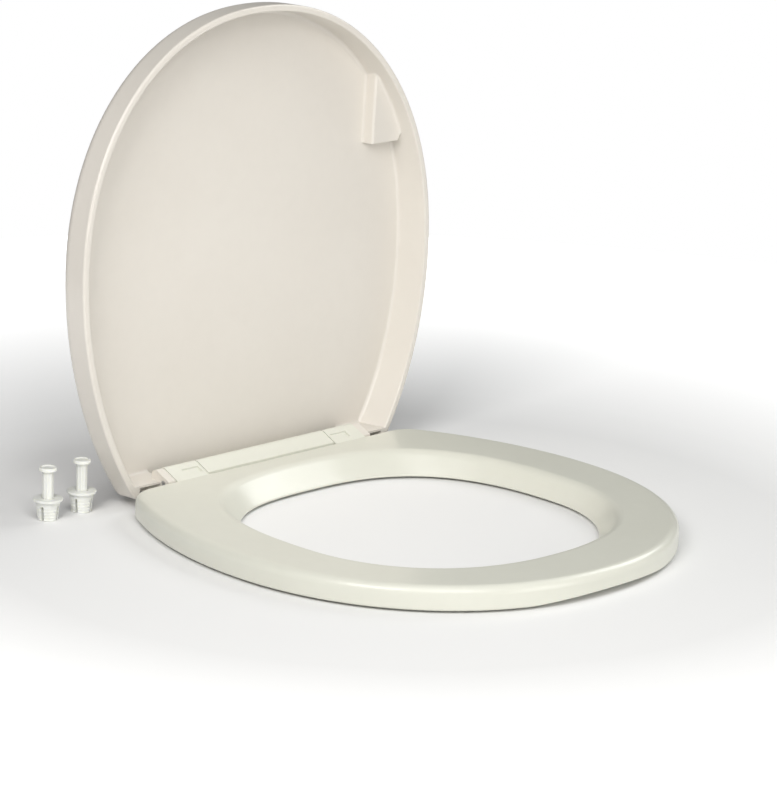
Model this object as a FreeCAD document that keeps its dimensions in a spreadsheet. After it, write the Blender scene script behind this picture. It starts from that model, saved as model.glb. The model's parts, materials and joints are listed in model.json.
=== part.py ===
import FreeCAD, Part
import math
import os
import Sketcher

# Compact hinged toilet seat with lid, and its two push-in expansion plugs.
# Millimetres, +Z up, +X along the hinge, -Y towards the front of the seat.
# Each piece is drawn with y = 0 at the seat's widest point and z = 0 on the bowl's rim.
# The last step moves them all so that the origin is midway between the plug holes.
# The seat is down, and the lid stands open, leaning a little past vertical.

Vector = FreeCAD.Vector
os.makedirs("parts", exist_ok=True)
doc = FreeCAD.newDocument("toilet_seat")

# ---------------------------------------------------------------- driving dimensions
SIZES = {
    # seat ring
    "seat_half_width": 180,
    "seat_front": 190,
    "seat_rear": 150,
    "seat_underside": 2,
    "seat_thickness": 17,
    "seat_corner": 24,
    "seat_edge_round": 6,
    "seat_bottom_round": 1.5,
    # opening through the ring, at its top and bottom edges
    "opening_centre": -18,
    "opening_half_width": 122,
    "opening_front": 112,
    "opening_back": 126,
    "funnel_side": 9,
    "funnel_front": 11,
    "funnel_back": 18,
    "funnel_round": 9,
    "funnel_bottom_round": 1,
    "finger_half_width": 82,
    "finger_floor": 1,
    "finger_depth": 14,
    "finger_rise": 3.2,
    "cut_overrun": 5,
    # seat bumpers
    "bumper_radius": 8,
    "bumper_stem_radius": 3,
    "bumper_stem_length": 5,
    "bumper_socket_spare": 0.5,
    "bumper_front": -75,
    "bumper_front_side": 136,
    "bumper_rear": 95,
    "bumper_rear_side": 130,
    # lid
    "lid_half_width": 174,
    "lid_centre": 6,
    "lid_rear": 164,
    "lid_gap": 0.4,
    "lid_depth": 26,
    "lid_inside": 22.5,
    "lid_wall": 5,
    "lid_ledge": 10,
    "ledge_rib": 1.6,
    "relief_end": 123,
    "relief_depth": 16,
    "lid_corner": 6,
    "lid_edge_round": 9,
    "lid_side_draft": 7,
    "lid_front_draft": 1.5,
    "lid_inner_round": 2.5,
    "lid_rim_round": 1.6,
    "lid_lip_round": 1.2,
    "lid_lean": 2,
    "grip_drop": 12,
    "grip_sink": 1,
    "grip_edge_round": 2,
    "grip_foot_round": 2.2,
    # hinge
    "hinge_back": 155,
    "hinge_height": 16.5,
    "crest_rise": 8.5,
    "crest_back": 8.5,
    "crest_blend": 6,
    "crest_radius": 4,
    "slope_gap": 0.6,
    "slope_foot": 19.1,
    "base_half_width": 64,
    "knuckle_start": 65,
    "knuckle_width": 30.5,
    "knuckle_swing": 12.5,
    "knuckle_swing_drop": 1,
    "knuckle_lap": 6,
    "recess_start": 67.5,
    "recess_width": 16,
    "recess_low": 151.5,
    "recess_high": 157.5,
    "recess_depth": 1.2,
    "ear_start": 96,
    "ear_width": 7,
    "ear_radius": 5.8,
    "ear_inset": 0.3,
    "ear_drop": 0.5,
    "ear_foot": 9,
    "ear_heel": 3,
    "rebate_edge": 148.6,
    "rebate_half_width": 104,
    "pin_radius": 2,
    "pin_inner_end": 48,
    "pin_play": 0.05,
    "plate_thickness": 5,
    "plate_back": 212,
    "plate_corner": 14,
    "plug_hole_radius": 9.6,
    "plug_hole_half_spacing": 50,
    "plug_hole_back": 198,
    # expansion plugs
    "sleeve_height": 16,
    "sleeve_flange_radius": 10.8,
    "sleeve_flange_height": 2,
    "sleeve_top_radius": 9,
    "sleeve_bottom_radius": 7.5,
    "sleeve_bore_radius": 4.1,
    "sleeve_slot_width": 2,
    "sleeve_slot_height": 11,
    "sleeve_turn": 20,
    "shank_radius": 4,
    "shank_length": 24,
    "shank_proud": 20,
    "head_radius": 6.5,
    "head_height": 3,
    "plug_line": 181,
    "left_plug_side": -190,
    "right_plug_side": -158.5,
}
# Powers of the superellipse that gives the outlines their shape, before and behind the widest point
FRONT_POWER = 2.13
BACK_POWER = 1.94
BACK_TO_FRONT = 1.245
# A fuller power for the front of the lid's inner panel
PANEL_FRONT_POWER = 2.2
# The same powers for the opening's bottom and top edges
OPENING_POWERS = (2.1, 2.7)
FUNNEL_POWERS = (2.3, 2.7)
# Points along the front quarter of an outline, and behind its widest point
FRONT_STEPS = 8
BACK_STEPS = 5
# Lengths closer than this count as equal
CLOSE = 0.01

sheet = doc.addObject("Spreadsheet::Sheet", "sizes")
for row, (word, value) in enumerate(SIZES.items(), start=1):
    sheet.set("A%d" % row, word)
    sheet.set("B%d" % row, str(value))
    sheet.setAlias("B%d" % row, word)
doc.recompute()


def size(word):
    """One driving dimension, read from the sheet."""
    return float(getattr(sheet, word))


# ---------------------------------------------------------------- helpers
def new_body(node):
    body = doc.addObject("PartDesign::Body", node)
    body.Label = node
    return body


def new_sketch(body, name, plane="XY_Plane", lift=None):
    """An empty sketch on one of the body's own planes, lifted along its normal by an expression."""
    sketch = body.newObject("Sketcher::SketchObject", name)
    origin_plane = [item for item in body.Origin.OriginFeatures if item.Role == plane][0]
    sketch.AttachmentSupport = [(origin_plane, "")]
    sketch.MapMode = "FlatFace"
    if lift is not None:
        sketch.setExpression("AttachmentOffset.Base.z", lift)
    return sketch


def feature(body, kind, name, profile, **bindings):
    """A PartDesign feature on a sketch, with the named properties bound to expressions."""
    item = body.newObject("PartDesign::" + kind, name)
    item.Profile = profile
    for prop, expression in bindings.items():
        item.setExpression(prop, expression)
    return item


def edges_where(shape, test):
    """Names of the edges that a test accepts."""
    return ["Edge%d" % (i + 1) for i, edge in enumerate(shape.Edges) if test(edge)]


def round_edges(body, name, test, radius):
    """Fillet the edges of the body's last feature that a test accepts."""
    doc.recompute()
    base = body.Tip
    names = edges_where(base.Shape, test)
    if not names:
        raise RuntimeError("no edge to round for " + name)
    fillet = body.newObject("PartDesign::Fillet", name)
    fillet.Base = (base, names)
    fillet.setExpression("Radius", radius)
    doc.recompute()
    return fillet


def level(edge, height):
    """Does the whole edge lie at one height?"""
    box = edge.BoundBox
    return abs(box.ZMin - height) < CLOSE and abs(box.ZMax - height) < CLOSE


def rear_corner(edge):
    """Is the edge upright, at an outline's rear corner?"""
    box = edge.BoundBox
    return box.ZLength > size("seat_thickness") / 2 and box.YMin > 0


def around_opening(edge, height):
    """Is this a level edge that runs round the seat's opening?"""
    box = edge.BoundBox
    limit = size("opening_half_width") + 3 * size("funnel_side")
    return level(edge, height) and box.YMin < 0 and box.XMax < limit


def superellipse(half_width, front, back, rear, front_power=FRONT_POWER, back_power=BACK_POWER):
    """Half of an egg-shaped outline about y = 0, from the front tip to a straight rear edge.

    Returns points (x, y) with x >= 0. Past the widest point the curve heads for y = back,
    and it stops where it meets the rear edge.
    """
    points = []
    for i in range(FRONT_STEPS + 1):
        angle = math.pi / 2 * i / FRONT_STEPS
        points.append((half_width * math.sin(angle) ** (2 / front_power),
                       -front * math.cos(angle) ** (2 / front_power)))
    last = math.asin(min(1.0, rear / back) ** (back_power / 2))
    for i in range(1, BACK_STEPS + 1):
        angle = last * i / BACK_STEPS
        points.append((half_width * math.cos(angle) ** (2 / back_power),
                       back * math.sin(angle) ** (2 / back_power)))
    return points


def draw_outline(sketch, half, centre):
    """Draw a mirrored half outline about x = 0 and close it with a straight rear edge."""
    left = [(-x, y) for x, y in reversed(half[1:])]
    points = [Vector(x, y + centre, 0) for x, y in left + half]
    curve = Part.BSplineCurve()
    curve.interpolate(points)
    sketch.addGeometry(curve, False)
    sketch.addGeometry(Part.LineSegment(points[-1], points[0]), False)
    return sketch


def draw_wire(sketch, pieces):
    """Draw a closed outline given as points (a straight run) and (mid, end) pairs (an arc)."""
    here = pieces[0]
    for piece in pieces[1:] + [pieces[0]]:
        if isinstance(piece[0], tuple):
            middle, end = piece
            arc = Part.Arc(Vector(*here, 0), Vector(*middle, 0), Vector(*end, 0))
            sketch.addGeometry(arc, False)
            here = end
        elif piece != here:
            sketch.addGeometry(Part.LineSegment(Vector(*here, 0), Vector(*piece, 0)), False)
            here = piece
    return sketch


def draw_rectangle(sketch, x_low, y_low, x_high, y_high):
    return draw_wire(sketch, [(x_low, y_low), (x_high, y_low), (x_high, y_high), (x_low, y_high)])


def draw_circle(sketch, x, y, radius):
    """A circle whose radius is bound to an expression."""
    sketch.addGeometry(Part.Circle(Vector(x, y, 0), Vector(0, 0, 1), 1.0), False)
    sketch.addConstraint(Sketcher.Constraint("Radius", sketch.GeometryCount - 1, 1.0))
    sketch.setExpression("Constraints[%d]" % (sketch.ConstraintCount - 1), radius)
    return sketch


def arc_middle(centre, radius, degrees):
    """The point of a circle at an angle measured from its first axis."""
    angle = math.radians(degrees)
    return (centre[0] + radius * math.cos(angle), centre[1] + radius * math.sin(angle))


def mirrored(body, name, *originals):
    """Repeat features on the other side of the centre plane."""
    mirror = body.newObject("PartDesign::Mirrored", name)
    mirror.Originals = list(originals)
    plane = [item for item in body.Origin.OriginFeatures if item.Role == "YZ_Plane"][0]
    mirror.MirrorPlane = (plane, [""])
    body.Tip = mirror
    doc.recompute()
    return mirror


def must_change(body, name, before, sign):
    """Stop if a feature left the body's volume as it was, or changed it the wrong way."""
    doc.recompute()
    change = (body.Shape.Volume - before) * sign
    if change < 1:
        raise RuntimeError("%s changed nothing on %s" % (name, body.Label))
    return body.Shape.Volume


def must_be_open(body, name, point):
    """Stop if a small cut, too small to weigh, left material at a point."""
    doc.recompute()
    if body.Shape.isInside(Vector(*point), CLOSE, True):
        raise RuntimeError("%s is not open on %s" % (name, body.Label))


# Outline of the finger grip on the closed lid: wall, lower end, notch, then along the rim
GRIP_OUTLINE = [(126.5, -126), (122.4, -66.5), (150, -66.5), (153, -72), (158.5, -72),
                ((146.8, -98), (126.5, -126))]
# Least share of the grip wall's length that its long edges keep
GRIP_WALL_SHARE = 0.7
HINGE = (size("hinge_back"), size("hinge_height"))
SEAT_TOP = size("seat_underside") + size("seat_thickness")
LID_LAND = SEAT_TOP + size("lid_gap")


def slope_start():
    """The foot of the hinge block's front slope, just behind the ring's rear edge."""
    return (size("rebate_edge") + size("slope_gap"), size("slope_foot"))


def crest_outline():
    """Side outline of the hinge block up its front slope, over the crest and down its back."""
    blend, radius = size("crest_blend"), size("crest_radius")
    foot, back, top = slope_start(), HINGE[0] + size("crest_back"), HINGE[1] + size("crest_rise")
    run, rise = back - foot[0], top - blend - foot[1]
    angle = math.degrees(math.atan2(rise, run) + math.asin(blend / math.hypot(run, rise)))
    over, behind = (back, top - blend), (back, top - radius)
    return [foot,
            arc_middle(over, blend, 90 + angle),
            (arc_middle(over, blend, 90 + angle / 2), (back, top)),
            (arc_middle(behind, radius, 45), (back + radius, top - radius))]


def shifted(piece, back, up):
    """A point, or an arc's middle and end, moved back and up."""
    if isinstance(piece[0], tuple):
        return tuple(shifted(point, back, up) for point in piece)
    return (piece[0] + back, piece[1] + up)


def closed(piece):
    """Where a point of the open lid, or an arc's middle and end, lies on the closed one."""
    if isinstance(piece[0], tuple):
        return tuple(closed(point) for point in piece)
    turn = math.radians(90 + size("lid_lean"))
    back, up = piece[0] - HINGE[0], piece[1] - HINGE[1]
    return (HINGE[0] + back * math.cos(turn) - up * math.sin(turn),
            HINGE[1] + back * math.sin(turn) + up * math.cos(turn))


def slope_height(y):
    """Height of the hinge block's front slope at one distance back."""
    foot, top = crest_outline()[:2]
    return foot[1] + (y - foot[0]) * (top[1] - foot[1]) / (top[0] - foot[0])


# ---------------------------------------------------------------- seat ring
def make_seat_ring():
    body = new_body("seat_ring")
    outline = new_sketch(body, "seat_outline", lift="sizes.seat_underside")
    half = superellipse(size("seat_half_width"), size("seat_front"),
                        size("seat_front") * BACK_TO_FRONT, size("seat_rear"))
    draw_outline(outline, half, 0)
    feature(body, "Pad", "seat_pad", outline, Length="sizes.seat_thickness")
    round_edges(body, "seat_corners", rear_corner, "sizes.seat_corner")
    round_edges(body, "seat_top_edge", lambda e: level(e, SEAT_TOP), "sizes.seat_edge_round")
    round_edges(body, "seat_bottom_edge", lambda e: level(e, size("seat_underside")),
                "sizes.seat_bottom_round")
    volume = body.Shape.Volume

    # The opening narrows downwards, most of all at the back
    low = new_sketch(body, "opening_bottom", lift="sizes.seat_underside")
    half_low = opening_outline(0, 0, 0, OPENING_POWERS)
    draw_closed_curve(low, half_low, size("opening_centre"))
    high = new_sketch(body, "opening_top", lift="sizes.seat_underside + sizes.seat_thickness")
    half_high = opening_outline(size("funnel_side"), size("funnel_front"), size("funnel_back"),
                                FUNNEL_POWERS)
    draw_closed_curve(high, half_high, size("opening_centre"))
    loft = body.newObject("PartDesign::SubtractiveLoft", "opening_funnel")
    loft.Profile = low
    loft.Sections = [high]
    loft.Ruled = True
    volume = must_change(body, "opening", volume, -1)
    round_edges(body, "funnel_top_edge", lambda e: around_opening(e, SEAT_TOP), "sizes.funnel_round")
    round_edges(body, "funnel_bottom_edge", lambda e: around_opening(e, size("seat_underside")),
                "sizes.funnel_bottom_round")
    volume = body.Shape.Volume

    # Rebate in the rear edge that clears the base and the lid's ears
    rebate = new_sketch(body, "rebate_outline")
    half_width = size("rebate_half_width")
    draw_rectangle(rebate, -half_width, size("rebate_edge"),
                   half_width, size("seat_rear") + size("cut_overrun"))
    cut = feature(body, "Pocket", "rebate", rebate)
    cut.Type = 1
    cut.Midplane = True
    volume = must_change(body, "rebate", volume, -1)

    # Finger clearance, a shallow arch under the front edge
    finger = new_sketch(body, "finger_arch", "XZ_Plane", lift="sizes.seat_front + sizes.cut_overrun")
    reach, floor = size("finger_half_width"), size("finger_floor")
    draw_wire(finger, [(-reach, floor), (reach, floor),
                       ((0, size("seat_underside") + size("finger_rise")), (-reach, floor))])
    feature(body, "Pocket", "finger_clearance", finger,
            Length="sizes.finger_depth + sizes.cut_overrun")
    volume = must_change(body, "finger clearance", volume, -1)

    # Blind holes for the stems of the four bumpers
    holes = new_sketch(body, "bumper_holes", lift="sizes.seat_underside")
    for end in ("front", "rear"):
        for sign in (-1, 1):
            draw_circle(holes, *bumper_place(end, sign), "sizes.bumper_stem_radius + sizes.pin_play")
    drill = feature(body, "Pocket", "bumper_sockets", holes,
                    Length="sizes.bumper_stem_length + sizes.bumper_socket_spare")
    drill.Reversed = True
    volume = must_change(body, "bumper sockets", volume, -1)

    # Two knuckles that carry the ring on the hinge pins, each with a shallow recess on its slope
    side = new_sketch(body, "knuckle_side", "YZ_Plane", lift="sizes.knuckle_start")
    crest = crest_outline()
    back = crest[-1][1][0]
    swing = size("knuckle_swing")
    swing_centre = (back - swing, crest[-1][1][1] - size("knuckle_swing_drop"))
    foot = swing_centre[1] - swing
    lap = size("rebate_edge") - size("knuckle_lap")
    draw_wire(side, [(lap, slope_height(lap)), (lap, foot), (swing_centre[0], foot),
                     (arc_middle(swing_centre, swing, -45), (back, swing_centre[1])),
                     crest[-1][1], (crest[-1][0], crest[-2][1]), (crest[-2][0], crest[1])])
    pad = feature(body, "Pad", "knuckle", side, Length="sizes.knuckle_width")
    volume = must_change(body, "knuckle", volume, 1)
    recess = new_sketch(body, "recess_side", "YZ_Plane", lift="sizes.recess_start")
    low, high, depth = size("recess_low"), size("recess_high"), size("recess_depth")
    over = size("cut_overrun")
    draw_wire(recess, [(low, slope_height(low) - depth), (high, slope_height(high) - depth),
                       (high, slope_height(high) + over), (low, slope_height(low) + over)])
    dip = feature(body, "Pocket", "recess", recess, Length="sizes.recess_width")
    dip.Reversed = True
    middle = (low + high) / 2
    must_be_open(body, "recess", (size("recess_start") + size("recess_width") / 2, middle,
                                  slope_height(middle) - depth / 2))
    mirrored(body, "knuckles", pad, dip)
    volume = body.Shape.Volume
    bore = new_sketch(body, "knuckle_bore_circle", "YZ_Plane")
    draw_circle(bore, HINGE[0], HINGE[1], "sizes.pin_radius + sizes.pin_play")
    through = feature(body, "Pocket", "knuckle_bore", bore)
    through.Type = 1
    through.Midplane = True
    must_change(body, "knuckle bore", volume, -1)
    return body


def opening_outline(side, front, back, powers):
    """Half outline of the seat opening, widened at the side, front and back."""
    rear = size("opening_back") + back
    return superellipse(size("opening_half_width") + side, size("opening_front") + front,
                        rear, rear, *powers)


def draw_closed_curve(sketch, half, centre):
    """Draw a mirrored half outline as one smooth closed curve."""
    left = [(-x, y) for x, y in reversed(half[1:-1])]
    curve = Part.BSplineCurve()
    curve.interpolate([Vector(x, y + centre, 0) for x, y in half + left], PeriodicFlag=True)
    sketch.addGeometry(curve, False)
    return sketch


def bumper_place(end, sign):
    """Where the bumper at one end and on one side stands, in the middle of the ring's width."""
    return (sign * size("bumper_%s_side" % end), size("bumper_" + end))


# ---------------------------------------------------------------- seat bumpers
def make_bumper(node, x, y):
    body = new_body(node)
    foot = new_sketch(body, node + "_foot")
    draw_circle(foot, 0, 0, "sizes.bumper_radius")
    feature(body, "Pad", node + "_pad", foot, Length="sizes.seat_underside")
    round_edges(body, node + "_edge", lambda e: level(e, 0), "sizes.seat_underside / 2")
    stem = new_sketch(body, node + "_stem", lift="sizes.seat_underside")
    draw_circle(stem, 0, 0, "sizes.bumper_stem_radius")
    feature(body, "Pad", node + "_stem_pad", stem, Length="sizes.bumper_stem_length")
    doc.recompute()
    body.Placement.Base = Vector(x, y, 0)
    return body


# ---------------------------------------------------------------- lid
def on_grip_wall(edge, height):
    """Is this the long level edge of the grip's inner wall?"""
    box, (upper, lower) = edge.BoundBox, GRIP_OUTLINE[:2]
    long_enough = box.YLength > GRIP_WALL_SHARE * (lower[1] - upper[1])
    return level(edge, height) and long_enough and abs(box.XMin - lower[0]) < size("grip_sink")


def make_lid_shell():
    """The lid is drawn closed, then turned up about the hinge."""
    body = new_body("lid_shell")
    land = "sizes.seat_underside + sizes.seat_thickness + sizes.lid_gap"
    centre, wall = size("lid_centre"), size("lid_wall")
    outline = new_sketch(body, "lid_outline", lift=land)
    half = superellipse(size("lid_half_width"), size("seat_front"),
                        size("seat_front") * BACK_TO_FRONT, size("lid_rear") - centre)
    draw_outline(outline, half, centre)
    feature(body, "Pad", "lid_pad", outline, Length="sizes.lid_depth")
    round_edges(body, "lid_corners", rear_corner, "sizes.lid_corner")
    round_edges(body, "lid_back_edge", lambda e: level(e, LID_LAND + size("lid_depth")),
                "sizes.lid_edge_round")
    volume = body.Shape.Volume

    # The hollow narrows towards the panel, much at the sides and hardly at the front
    side, front = size("lid_half_width") - wall, size("seat_front") - wall
    reach = size("seat_front") * BACK_TO_FRONT - wall
    ledge = size("lid_rear") - size("lid_ledge")
    rear = ledge - centre
    inside = new_sketch(body, "lid_hollow_outline", lift=land)
    draw_outline(inside, superellipse(side, front, reach, rear), centre)
    floor = new_sketch(body, "lid_panel_outline", lift=land + " + sizes.lid_inside")
    draft, tip = size("lid_side_draft"), size("lid_front_draft")
    draw_outline(floor, superellipse(side - draft, front - tip, reach - draft, rear - tip,
                                     PANEL_FRONT_POWER), centre)
    loft = body.newObject("PartDesign::SubtractiveLoft", "lid_hollow")
    loft.Profile = inside
    loft.Sections = [floor]
    loft.Ruled = True
    volume = must_change(body, "lid hollow", volume, -1)
    panel = LID_LAND + size("lid_inside")
    round_edges(body, "lid_inner_edge", lambda e: level(e, panel), "sizes.lid_inner_round")
    outer = size("lid_half_width") - wall / 2
    round_edges(body, "lid_rim_edge",
                lambda e: level(e, LID_LAND) and e.BoundBox.XMax > outer, "sizes.lid_rim_round")
    inner = outer - 2 * wall
    round_edges(body, "lid_lip_edge",
                lambda e: level(e, LID_LAND) and inner < e.BoundBox.XMax < outer
                and e.BoundBox.YLength > wall, "sizes.lid_lip_round")
    volume = body.Shape.Volume

    # The rear ledge is left out between the ears, where the base and the knuckles stand
    notch = new_sketch(body, "notch_outline", lift=land)
    near, over = size("ear_start"), size("cut_overrun")
    draw_rectangle(notch, -near, ledge - over, near, size("lid_rear") + over)
    gap = feature(body, "Pocket", "hinge_notch", notch, Length="sizes.lid_inside")
    gap.Reversed = True
    volume = must_change(body, "hinge notch", volume, -1)

    # Relief under both ends of the ledge, which leaves a thin rib along its inner edge
    relief = new_sketch(body, "relief_outline", lift=land)
    near, far = near + size("ear_width"), size("relief_end")
    low, high = ledge + size("ledge_rib"), size("lid_rear") + over
    draw_rectangle(relief, near, low, far, high)
    draw_rectangle(relief, -far, low, -near, high)
    under = feature(body, "Pocket", "ledge_relief", relief, Length="sizes.relief_depth")
    under.Reversed = True
    volume = must_change(body, "ledge relief", volume, -1)

    # Ears on the hinge pins; with the lid open they follow the slope and crest of the hinge block
    side = new_sketch(body, "ear_side", "YZ_Plane", lift="sizes.ear_start")
    radius, low = size("ear_radius"), size("ear_foot")
    crest = [shifted(piece, size("ear_inset"), -size("ear_drop")) for piece in crest_outline()]
    back = crest[-1][1][0]
    ear = crest + [(back, low), (HINGE[0] + size("ear_heel"), low), arc_middle(HINGE, radius, 270),
                   (arc_middle(HINGE, radius, 225), arc_middle(HINGE, radius, 180))]
    draw_wire(side, [closed(piece) for piece in ear])
    pad = feature(body, "Pad", "ear", side, Length="sizes.ear_width")
    must_change(body, "ear", volume, 1)
    mirrored(body, "ears", pad)
    volume = body.Shape.Volume
    bore = new_sketch(body, "ear_bore_circle", "YZ_Plane")
    draw_circle(bore, HINGE[0], HINGE[1], "sizes.pin_radius + sizes.pin_play")
    through = feature(body, "Pocket", "ear_bore", bore)
    through.Type = 1
    through.Midplane = True
    volume = must_change(body, "ear bore", volume, -1)

    # Raised finger grip inside one side of the rim, near the front
    grip = new_sketch(body, "grip_outline", lift=land + " + sizes.grip_drop")
    draw_wire(grip, GRIP_OUTLINE)
    feature(body, "Pad", "finger_grip", grip,
            Length="sizes.lid_inside - sizes.grip_drop + sizes.grip_sink")
    must_change(body, "finger grip", volume, 1)
    top = LID_LAND + size("grip_drop")
    round_edges(body, "grip_edge", lambda e: on_grip_wall(e, top), "sizes.grip_edge_round")
    round_edges(body, "grip_foot", lambda e: on_grip_wall(e, panel), "sizes.grip_foot_round")

    open_angle = 90 + size("lid_lean")
    body.Placement = FreeCAD.Placement(Vector(0, 0, 0), FreeCAD.Rotation(Vector(1, 0, 0), -open_angle),
                                       Vector(0, HINGE[0], HINGE[1]))
    return body


# ---------------------------------------------------------------- hinge base and pins
def make_hinge_base():
    body = new_body("hinge_base")
    side = new_sketch(body, "base_side", "YZ_Plane")
    crest = crest_outline()
    back = crest[-1][1][0]
    draw_wire(side, [(crest[0][0], 0)] + crest + [(back, 0)])
    bar = feature(body, "Pad", "base_bar", side, Length="2 * sizes.base_half_width")
    bar.Midplane = True
    doc.recompute()
    volume = body.Shape.Volume
    plate = new_sketch(body, "plate_outline")
    half_width, front = size("base_half_width"), HINGE[0]
    draw_rectangle(plate, -half_width, front, half_width, size("plate_back"))
    feature(body, "Pad", "base_plate", plate, Length="sizes.plate_thickness")
    volume = must_change(body, "base plate", volume, 1)
    round_edges(body, "plate_corners",
                lambda e: abs(e.BoundBox.ZLength - size("plate_thickness")) < CLOSE
                and abs(e.BoundBox.YMin - size("plate_back")) < CLOSE, "sizes.plate_corner")
    volume = body.Shape.Volume
    holes = new_sketch(body, "plug_holes")
    for sign in (-1, 1):
        draw_circle(holes, sign * size("plug_hole_half_spacing"), size("plug_hole_back"),
                    "sizes.plug_hole_radius")
    cut = feature(body, "Pocket", "plug_hole_pair", holes)
    cut.Type = 1
    cut.Midplane = True
    volume = must_change(body, "plug holes", volume, -1)
    socket = new_sketch(body, "pin_socket_circle", "YZ_Plane", lift="sizes.base_half_width")
    draw_circle(socket, HINGE[0], HINGE[1], "sizes.pin_radius")
    drill = feature(body, "Pocket", "pin_socket", socket,
                    Length="sizes.base_half_width - sizes.pin_inner_end")
    must_change(body, "pin socket", volume, -1)
    mirrored(body, "pin_sockets", drill)
    return body


def make_hinge_pin(node, sign):
    body = new_body(node)
    circle = new_sketch(body, node + "_circle", "YZ_Plane")
    draw_circle(circle, 0, 0, "sizes.pin_radius")
    feature(body, "Pad", node + "_pad", circle,
            Length="sizes.ear_start + sizes.ear_width - sizes.pin_inner_end")
    doc.recompute()
    start = size("pin_inner_end")
    length = size("ear_start") + size("ear_width") - start
    body.Placement.Base = Vector(start if sign > 0 else -start - length, *HINGE)
    return body


# ---------------------------------------------------------------- expansion plugs
def make_plug_sleeve(node, x, y):
    """Tapered sleeve with a flange, split into four legs from below."""
    body = new_body(node)
    half = new_sketch(body, node + "_half", "XZ_Plane")
    bore, top = size("sleeve_bore_radius"), size("sleeve_height")
    low, high = size("sleeve_bottom_radius"), size("sleeve_top_radius")
    flange, rim = size("sleeve_flange_radius"), top - size("sleeve_flange_height")
    draw_wire(half, [(bore, 0), (low, 0), (high, rim), (flange, rim), (flange, top), (bore, top)])
    turned = feature(body, "Revolution", node + "_turned", half)
    turned.ReferenceAxis = (half, ["V_Axis"])
    doc.recompute()
    volume = body.Shape.Volume
    slots = new_sketch(body, node + "_slots")
    reach, gap = flange + size("cut_overrun"), size("sleeve_slot_width") / 2
    draw_wire(slots, [(-reach, -gap), (-gap, -gap), (-gap, -reach), (gap, -reach), (gap, -gap),
                      (reach, -gap), (reach, gap), (gap, gap), (gap, reach), (-gap, reach),
                      (-gap, gap), (-reach, gap)])
    cut = feature(body, "Pocket", node + "_legs", slots, Length="sizes.sleeve_slot_height")
    cut.Reversed = True
    must_change(body, "slots", volume, -1)
    turn = FreeCAD.Rotation(Vector(0, 0, 1), size("sleeve_turn"))
    body.Placement = FreeCAD.Placement(Vector(x, y, 0), turn)
    return body


def make_plug_pin(node, x, y):
    """Drive pin with a round head, standing proud of its sleeve."""
    body = new_body(node)
    circle = new_sketch(body, node + "_shank_circle")
    draw_circle(circle, 0, 0, "sizes.shank_radius")
    feature(body, "Pad", node + "_shank", circle, Length="sizes.shank_length")
    cap = new_sketch(body, node + "_head_circle", lift="sizes.shank_length")
    draw_circle(cap, 0, 0, "sizes.head_radius")
    feature(body, "Pad", node + "_head", cap, Length="sizes.head_height")
    round_edges(body, node + "_head_edge",
                lambda e: level(e, size("shank_length") + size("head_height")), "sizes.head_height / 3")
    tip = size("sleeve_height") + size("shank_proud") - size("shank_length")
    body.Placement.Base = Vector(x, y, tip)
    return body


# ---------------------------------------------------------------- build
bodies = [make_seat_ring(), make_lid_shell(), make_hinge_base()]
for end in ("front", "rear"):
    for side, sign in (("left", -1), ("right", 1)):
        bodies.append(make_bumper("seat_bumper_%s_%s" % (end, side), *bumper_place(end, sign)))
for side, sign in (("left", -1), ("right", 1)):
    bodies.append(make_hinge_pin("hinge_pin_" + side, sign))
for side in ("left", "right"):
    stand = (size(side + "_plug_side"), size("plug_line"))
    bodies.append(make_plug_sleeve("plug_sleeve_" + side, *stand))
    bodies.append(make_plug_pin("plug_pin_" + side, *stand))

# The origin is the middle of the two plug holes, on the bowl's rim
to_origin = FreeCAD.Placement(Vector(0, -size("plug_hole_back"), 0), FreeCAD.Rotation())
for body in bodies:
    body.Placement = to_origin * body.Placement
doc.recompute()

for item in doc.Objects:
    if "Invalid" in item.State or "Error" in item.State:
        raise RuntimeError("%s failed: %s" % (item.Name, item.State))
for body in bodies:
    shape = body.Shape
    if shape.isNull() or not shape.isValid() or len(shape.Solids) != 1:
        raise RuntimeError("%s has no single valid solid" % body.Label)
    box = shape.BoundBox
    print("%-26s %9.0f mm3  x %.1f..%.1f  y %.1f..%.1f  z %.1f..%.1f" % (
        body.Label, shape.Volume, box.XMin, box.XMax, box.YMin, box.YMax, box.ZMin, box.ZMax))
    shape.exportStep("parts/%s.step" % body.Label)
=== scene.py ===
import json
import math

import bmesh
import bpy
from mathutils import Matrix, Vector


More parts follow.
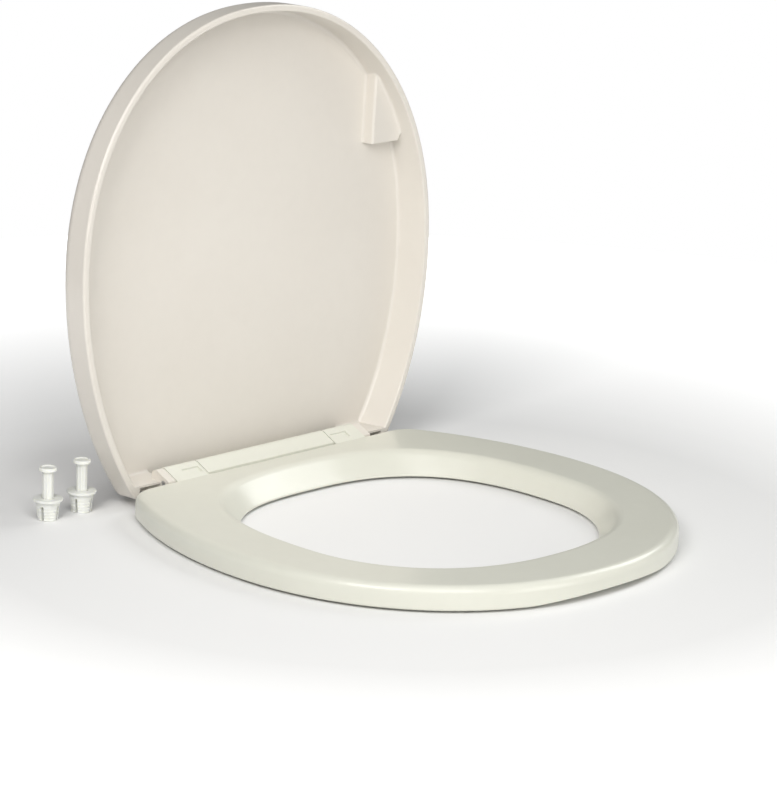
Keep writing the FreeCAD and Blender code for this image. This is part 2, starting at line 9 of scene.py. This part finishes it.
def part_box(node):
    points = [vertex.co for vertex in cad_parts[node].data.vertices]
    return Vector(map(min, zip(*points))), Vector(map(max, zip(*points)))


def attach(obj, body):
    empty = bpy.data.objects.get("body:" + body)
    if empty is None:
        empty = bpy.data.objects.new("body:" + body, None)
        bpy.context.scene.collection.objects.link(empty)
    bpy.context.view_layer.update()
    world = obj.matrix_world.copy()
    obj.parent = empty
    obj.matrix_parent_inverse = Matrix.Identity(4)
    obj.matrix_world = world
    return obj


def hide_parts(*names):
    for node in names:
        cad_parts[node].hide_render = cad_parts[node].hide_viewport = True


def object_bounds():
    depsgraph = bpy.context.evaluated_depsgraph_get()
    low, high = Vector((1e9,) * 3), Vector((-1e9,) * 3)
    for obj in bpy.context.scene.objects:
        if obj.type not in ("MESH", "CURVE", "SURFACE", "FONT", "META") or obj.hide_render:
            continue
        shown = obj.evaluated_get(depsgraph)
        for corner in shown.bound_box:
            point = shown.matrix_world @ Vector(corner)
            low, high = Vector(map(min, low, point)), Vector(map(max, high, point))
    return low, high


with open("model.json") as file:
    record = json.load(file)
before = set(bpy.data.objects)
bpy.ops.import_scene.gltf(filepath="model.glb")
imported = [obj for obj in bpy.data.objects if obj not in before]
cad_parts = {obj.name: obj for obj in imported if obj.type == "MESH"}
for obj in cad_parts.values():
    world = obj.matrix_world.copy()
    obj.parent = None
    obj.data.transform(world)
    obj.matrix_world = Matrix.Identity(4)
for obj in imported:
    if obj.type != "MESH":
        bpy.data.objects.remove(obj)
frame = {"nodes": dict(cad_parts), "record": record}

cad_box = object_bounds()
low, high = (Vector(corner) for corner in cad_box)
middle = (low + high) / 2
scene = bpy.context.scene
MM = 0.001
FULL = 2 * math.pi
# Points closer than this are one
MERGE = 1e-6


# ---------------------------------------------------------------- materials
class Nodes:
    """Short hand for building one node material around its Principled shader."""

    def __init__(self, name):
        self.material = bpy.data.materials.new(name)
        self.material.use_nodes = True
        self.tree = self.material.node_tree
        self.shader = self.tree.nodes["Principled BSDF"]
        self.place = self.add("ShaderNodeTexCoord").outputs["Object"]

    def add(self, kind, **sockets):
        node = self.tree.nodes.new(kind)
        for socket, value in sockets.items():
            self.put(node.inputs[socket.replace("_", " ")], value)
        return node

    def put(self, socket, value):
        if isinstance(value, bpy.types.NodeSocket):
            self.tree.links.new(value, socket)
        else:
            socket.default_value = value

    def noise(self, scale, detail=2.0, stretch=None):
        """Noise in metres of the row frame: scale is about how many blobs fit in one metre."""
        place = self.place
        if stretch is not None:
            place = self.add("ShaderNodeMapping", Vector=place, Scale=stretch).outputs["Vector"]
        return self.add("ShaderNodeTexNoise", Vector=place, Scale=scale, Detail=detail).outputs["Fac"]

    def spread(self, value, to_low, to_high, from_low=0.35, from_high=0.65):
        node = self.add("ShaderNodeMapRange")
        for socket, number in zip(node.inputs[:5], (value, from_low, from_high, to_low, to_high)):
            self.put(socket, number)
        return node.outputs["Result"]

    def mix(self, factor, first, second):
        node = self.tree.nodes.new("ShaderNodeMix")
        node.data_type = "RGBA"
        self.put(node.inputs["Factor"], factor)
        for socket, colour in (("A", first), ("B", second)):
            target = [item for item in node.inputs if item.name == socket and item.type == "RGBA"][0]
            self.put(target, colour if isinstance(colour, bpy.types.NodeSocket) else (*colour, 1))
        return [item for item in node.outputs if item.type == "RGBA"][0]

    def bump(self, height, distance, strength, under=None):
        node = self.add("ShaderNodeBump", Height=height, Distance=distance, Strength=strength)
        if under is not None:
            self.put(node.inputs["Normal"], under)
        return node.outputs["Normal"]

    def shade(self, **sockets):
        for socket, value in sockets.items():
            target = self.shader.inputs[socket.replace("_", " ")]
            self.put(target, (*value, 1) if isinstance(value, tuple) and len(value) == 3
                     and target.type == "RGBA" else value)
        return self.material


def moulded_plastic(name, light, deep, gloss=(0.27, 0.37)):
    """Ivory moulded plastic: slow tone drift, fine speckle, a faint ripple and a fine grain."""
    make = Nodes(name)
    drift = make.spread(make.noise(7, 3), 0, 1, 0.2, 0.8)
    tone = make.mix(drift, light, deep)
    speck = make.spread(make.noise(110, 2), 0, 0.06, 0.4, 0.8)
    tone = make.mix(speck, tone, tuple(0.80 * channel for channel in deep))
    ripple = make.bump(make.noise(60, 1), 0.4 * MM, 0.06)
    grain = make.bump(make.noise(240, 1), 0.02 * MM, 0.10, ripple)
    return make.shade(Base_Color=tone, Roughness=make.spread(make.noise(45, 3), *gloss, 0.2, 0.8),
                      Normal=grain, Coat_Weight=0.22, Coat_Roughness=0.12,
                      Specular_IOR_Level=0.5, IOR=1.49)


def milky_nylon(name):
    """White nylon, slightly see-through at thin edges, with flow marks."""
    make = Nodes(name)
    flow = make.spread(make.noise(160, 3, (1, 1, 0.3)), 0, 1)
    tone = make.mix(flow, (0.84, 0.85, 0.81), (0.78, 0.79, 0.75))
    ripple = make.bump(make.noise(700, 2), 0.08 * MM, 0.22)
    return make.shade(Base_Color=tone, Roughness=make.spread(make.noise(320, 2), 0.30, 0.44),
                      Normal=ripple, Subsurface_Weight=0.20, Subsurface_Radius=(3 * MM, 3 * MM, 2 * MM),
                      IOR=1.53)


def ground_steel(name):
    """Pin steel with fine turning marks round its length."""
    make = Nodes(name)
    marks = make.noise(300, 3, (12, 1, 1))
    tone = make.mix(make.spread(marks, 0, 1), (0.60, 0.60, 0.61), (0.50, 0.50, 0.52))
    return make.shade(Base_Color=tone, Metallic=1.0, Roughness=make.spread(marks, 0.24, 0.40),
                      Normal=make.bump(marks, 0.03 * MM, 0.3))


def soft_rubber(name):
    """Pale matt rubber with a dusty skin."""
    make = Nodes(name)
    dust = make.spread(make.noise(500, 4), 0, 1)
    tone = make.mix(dust, (0.62, 0.61, 0.56), (0.50, 0.49, 0.45))
    return make.shade(Base_Color=tone, Roughness=make.spread(make.noise(260, 2), 0.62, 0.82),
                      Normal=make.bump(make.noise(1600, 2), 0.06 * MM, 0.35))


SEAT_TONES = (0.725, 0.728, 0.650), (0.680, 0.680, 0.600)
LID_TONES = (0.730, 0.694, 0.638), (0.690, 0.650, 0.592)
finish = {
    "bone_plastic": moulded_plastic("bone_plastic", *SEAT_TONES),
    "white_nylon": milky_nylon("white_nylon"),
    "pin_steel": ground_steel("pin_steel"),
    "bumper_rubber": soft_rubber("bumper_rubber"),
}
for part in frame["record"]["subparts"]:
    item = frame["nodes"][part["node"]]
    item.data.materials.clear()
    item.data.materials.append(finish[part["material_slot"]])
# The lid gets a warmer copy of the seat's plastic tones, and its inside is more matt
lid = frame["nodes"]["lid_shell"]
lid.data.materials[0] = moulded_plastic("bone_plastic_lid", *LID_TONES, gloss=(0.30, 0.42))


# ---------------------------------------------------------------- turned pieces for the plugs
ROUND_STEPS, LEG_STEPS = 96, 18
SHARP_DEGREES = 32
SHANK_RADIUS, BORE_RADIUS = 4 * MM, 4.1 * MM
# The head is a little thinner than the pin's head in the frame, so it stops short of the flange
HEAD_THICKNESS = 2.95 * MM
LEG_COUNT, LEG_GAP_DEGREES, SLEEVE_TURN_DEGREES = 4, 8, 20


def turned(name, loops, centre, slot, body, replaced):
    """A mesh of closed loops of (radius, height), each swept between two angles about an upright axis.

    A loop swept all the way round needs no caps. Flutes, if any, are (depth, lowest, highest, count):
    how deep that many shallow grooves cut the loop's points between the two heights.
    """
    mesh = bmesh.new()
    for loop, start, end, steps, flutes in loops:
        whole = end - start > FULL - MERGE
        rings = []
        for i in range(steps if whole else steps + 1):
            angle = start + (end - start) * i / steps
            ring = []
            for radius, height in loop:
                cut = 0.0
                if flutes and flutes[1] < height < flutes[2]:
                    cut = flutes[0] * (0.5 - 0.5 * math.cos(flutes[3] * angle))
                away = radius - cut
                ring.append(mesh.verts.new((centre[0] + away * math.cos(angle),
                                            centre[1] + away * math.sin(angle), centre[2] + height)))
            rings.append(ring)
        count = len(loop)
        for i in range(len(rings) if whole else len(rings) - 1):
            here, there = rings[i], rings[(i + 1) % len(rings)]
            for j in range(count):
                k = (j + 1) % count
                mesh.faces.new([here[j], there[j], there[k], here[k]])
        if not whole:
            mesh.faces.new(list(reversed(rings[0])))
            mesh.faces.new(rings[-1])
    bmesh.ops.remove_doubles(mesh, verts=mesh.verts, dist=MERGE)
    bmesh.ops.recalc_face_normals(mesh, faces=mesh.faces)
    data = bpy.data.meshes.new(name)
    mesh.to_mesh(data)
    mesh.free()
    for face in data.polygons:
        face.use_smooth = True
    data.set_sharp_from_angle(angle=math.radians(SHARP_DEGREES))
    data.materials.append(finish[slot])
    item = bpy.data.objects.new(name, data)
    scene.collection.objects.link(item)
    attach(item, body)
    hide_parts(replaced)
    return item


def plug_pin(side):
    """Drive pin: a dished head with a raised rim, a fluted shank and a blunt tip."""
    lowest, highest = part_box("plug_pin_" + side)
    head, height = (highest[0] - lowest[0]) / 2, highest[2] - lowest[2]
    centre = ((lowest[0] + highest[0]) / 2, (lowest[1] + highest[1]) / 2, lowest[2])
    shank, under = SHANK_RADIUS, height - HEAD_THICKNESS
    head_loop = [(0.05 * MM, under), (head - 0.8 * MM, under), (head - 0.1 * MM, under + 0.5 * MM),
                 (head, under + 1.0 * MM), (head, height - 0.9 * MM),
                 (head - 0.35 * MM, height - 0.2 * MM),
                 (head - 0.9 * MM, height), (head - 1.5 * MM, height - 0.25 * MM),
                 (head - 1.9 * MM, height - 0.7 * MM), (0.6 * head, height - 0.75 * MM),
                 (0.35 * head, height - 0.62 * MM), (0.05 * MM, height - 0.55 * MM)]
    stem = [(0.05 * MM, 0), (shank - 1.6 * MM, 0), (shank - 0.9 * MM, 0.6 * MM), (shank, 2.4 * MM),
            (shank, 3.0 * MM), (shank, under - 2.2 * MM), (shank, under - 0.65 * MM),
            (shank + 0.5 * MM, under - 0.1 * MM), (shank + 0.5 * MM, under + 0.4 * MM),
            (0.05 * MM, under + 0.4 * MM)]
    flutes = (0.45 * MM, 2.9 * MM, under - 2.0 * MM, 8)
    return turned("plug_drive_" + side,
                  [(stem, 0, FULL, ROUND_STEPS, flutes), (head_loop, 0, FULL, ROUND_STEPS, None)],
                  centre, "white_nylon", "plug_%s_pin" % side, "plug_pin_" + side)


def plug_sleeve(side):
    """Expansion sleeve: a chamfered flange on a collar, and four ridged legs that taper downwards."""
    lowest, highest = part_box("plug_sleeve_" + side)
    flange, height = (highest[0] - lowest[0]) / 2, highest[2] - lowest[2]
    centre = ((lowest[0] + highest[0]) / 2, (lowest[1] + highest[1]) / 2, lowest[2])
    bore, top, bottom = BORE_RADIUS, 9 * MM, 7.5 * MM
    rim, split, gap = height - 2 * MM, 11 * MM, math.radians(LEG_GAP_DEGREES)
    collar = [(bore, split), (top - 0.45 * MM, split), (top - 0.1 * MM, rim - 0.9 * MM),
              (top + 0.5 * MM, rim), (flange - 0.4 * MM, rim), (flange, rim + 0.4 * MM),
              (flange, height - 0.5 * MM), (flange - 0.5 * MM, height), (bore + 0.7 * MM, height),
              (bore, height - 0.7 * MM)]
    leg = [(bore, 0), (bottom - 0.6 * MM, 0), (bottom, 0.8 * MM)]
    ridges = 4
    for i in range(ridges):
        start = 1.6 * MM + i * 2.3 * MM
        taper = bottom + (top - bottom) * start / rim
        leg += [(taper - 0.5 * MM, start), (taper, start + 1.3 * MM), (taper, start + 1.7 * MM)]
    leg += [(top - 0.5 * MM, split + 0.2 * MM), (bore, split + 0.2 * MM)]
    turn = math.radians(SLEEVE_TURN_DEGREES)
    share = FULL / LEG_COUNT
    legs = [(leg, turn + share * i + gap, turn + share * (i + 1) - gap, LEG_STEPS, None)
            for i in range(LEG_COUNT)]
    return turned("plug_shell_" + side, [(collar, 0, FULL, ROUND_STEPS, None)] + legs,
                  centre, "white_nylon", "plug_" + side, "plug_sleeve_" + side)


for side in ("left", "right"):
    plug_pin(side)
    plug_sleeve(side)


# ---------------------------------------------------------------- floor, light and camera
def paper_white(name, tone, near, far, glow):
    """Pale paper for the floor, which glows towards its far edge like a lit backdrop."""
    make = Nodes(name)
    shade = make.mix(make.noise(3, 2), tone, tuple(0.97 * channel for channel in tone))
    away = make.add("ShaderNodeVectorMath")
    away.operation = "DISTANCE"
    make.put(away.inputs[0], make.place)
    make.put(away.inputs[1], (middle.x, middle.y, low.z))
    lit = make.spread(away.outputs["Value"], 0, glow, near, far)
    return make.shade(Base_Color=shade, Roughness=0.9, Emission_Color=(1, 1, 1, 1),
                      Emission_Strength=lit)


FLOOR_RADIUS, FLOOR_SIDES = 0.95, 128
GLOW_STARTS, GLOW_FULL, GLOW = 0.3, 0.85, 0.9
WORLD_FILL = 0.12
floor_mesh = bpy.data.meshes.new("floor")
floor_shape = bmesh.new()
bmesh.ops.create_circle(floor_shape, cap_ends=True, segments=FLOOR_SIDES, radius=FLOOR_RADIUS)
bmesh.ops.translate(floor_shape, verts=floor_shape.verts, vec=(middle.x, middle.y, low.z))
floor_shape.to_mesh(floor_mesh)
floor_shape.free()
floor_mesh.materials.append(paper_white("floor_white", (0.88, 0.88, 0.88),
                                        GLOW_STARTS, GLOW_FULL, GLOW))
floor = bpy.data.objects.new("floor", floor_mesh)
scene.collection.objects.link(floor)

world = bpy.data.worlds.new("studio")
world.use_nodes = True
scene.world = world
tree = world.node_tree
fill = tree.nodes["Background"]
fill.inputs["Color"].default_value = (0.97, 0.985, 1.0, 1)
fill.inputs["Strength"].default_value = WORLD_FILL
paper = tree.nodes.new("ShaderNodeBackground")
paper.inputs["Strength"].default_value = 1.0
paper.inputs["Color"].default_value = (1, 1, 1, 1)
blend = tree.nodes.new("ShaderNodeMixShader")
tree.links.new(tree.nodes.new("ShaderNodeLightPath").outputs["Is Camera Ray"], blend.inputs["Fac"])
tree.links.new(fill.outputs[0], blend.inputs[1])
tree.links.new(paper.outputs[0], blend.inputs[2])
tree.links.new(blend.outputs[0], tree.nodes["World Output"].inputs["Surface"])


def lamp(name, azimuth, elevation, distance, breadth, power, tint=(1, 1, 1)):
    """A soft square lamp round the object's middle; azimuth 0 stands in front, 90 at +X."""
    data = bpy.data.lights.new(name, "AREA")
    data.size, data.energy, data.color = breadth, power, tint
    item = bpy.data.objects.new(name, data)
    turn, rise = math.radians(azimuth), math.radians(elevation)
    towards = Vector((math.sin(turn) * math.cos(rise), -math.cos(turn) * math.cos(rise), math.sin(rise)))
    item.location = middle + towards * distance
    item.rotation_mode = "QUATERNION"
    item.rotation_quaternion = towards.to_track_quat("Z", "Y")
    scene.collection.objects.link(item)
    return item


# Azimuth, elevation, distance, breadth, power and tint of each lamp
LAMPS = {
    "front": (10, 8, 2.0, 0.9, 9.5, (1.0, 0.985, 0.955)),
    "side_left": (-70, 35, 2.0, 0.9, 22, (1.0, 0.985, 0.965)),
    "front_left": (-30, 35, 2.0, 0.9, 13, (1.0, 0.99, 0.965)),
    "side_right": (80, 35, 2.0, 0.9, 12, (0.985, 1.0, 0.99)),
    "overhead": (-45, 66, 2.0, 0.9, 5, (0.98, 1.0, 1.0)),
}
for name, values in LAMPS.items():
    lamp(name, *values)

AZIMUTH, ELEVATION, ROLL = -45.52, 15.4, 2.09
DISTANCE, LENS, SENSOR = 2.5851, 161.89, 36
# What the camera aims at: the middle of the seat, on the bowl's rim, and then a step right and up
ring_low, ring_high = (Vector(corner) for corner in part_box("seat_ring"))
aim = Vector(((ring_low.x + ring_high.x) / 2, ring_low.y + 0.190, low.z))
STEP_RIGHT, STEP_UP = -0.01806, 0.09249


def add_camera():
    turn, rise, roll = map(math.radians, (AZIMUTH, ELEVATION, ROLL))
    back = Vector((math.sin(turn) * math.cos(rise), -math.cos(turn) * math.cos(rise), math.sin(rise)))
    right = Vector((math.cos(turn), math.sin(turn), 0))
    up = back.cross(right)
    across = right * math.cos(roll) + up * math.sin(roll)
    upward = up * math.cos(roll) - right * math.sin(roll)
    data = bpy.data.cameras.new("camera")
    data.sensor_width, data.lens = SENSOR, LENS
    item = bpy.data.objects.new("camera", data)
    item.matrix_world = Matrix([(across[i], upward[i], back[i],
                          (aim + across * STEP_RIGHT + upward * STEP_UP + back * DISTANCE)[i])
                         for i in range(3)] + [(0, 0, 0, 1)])
    scene.collection.objects.link(item)
    scene.camera = item


add_camera()
scene.view_settings.view_transform = "Standard"
